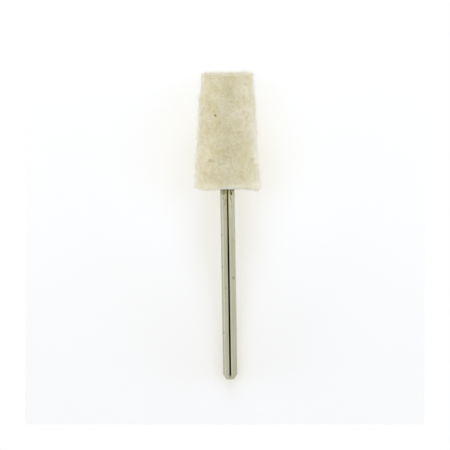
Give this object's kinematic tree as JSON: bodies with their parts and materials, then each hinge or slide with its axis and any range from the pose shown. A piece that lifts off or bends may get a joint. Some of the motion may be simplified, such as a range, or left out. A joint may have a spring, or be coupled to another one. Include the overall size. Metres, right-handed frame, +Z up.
{
  "type": "felt polishing bob",
  "caption": "Tapered felt polishing bob on a straight steel shank, held in a rotary handpiece collet to buff small work.",
  "frame": {"origin": "middle of the felt's flat nose face, on which the bob stands", "axes": "+Z up along the bob's axis, from the felt's nose to the shank's free end"},
  "size_m": [0.0106, 0.0106, 0.0498],
  "materials": {
    "felt": "pressed off-white wool felt, matt, slightly fuzzy",
    "steel": "ground bright steel with fine lengthwise streaks"
  },
  "bodies": {
    "root": {"felt_head": "felt", "shank": "steel"}
  },
  "joints": []
}
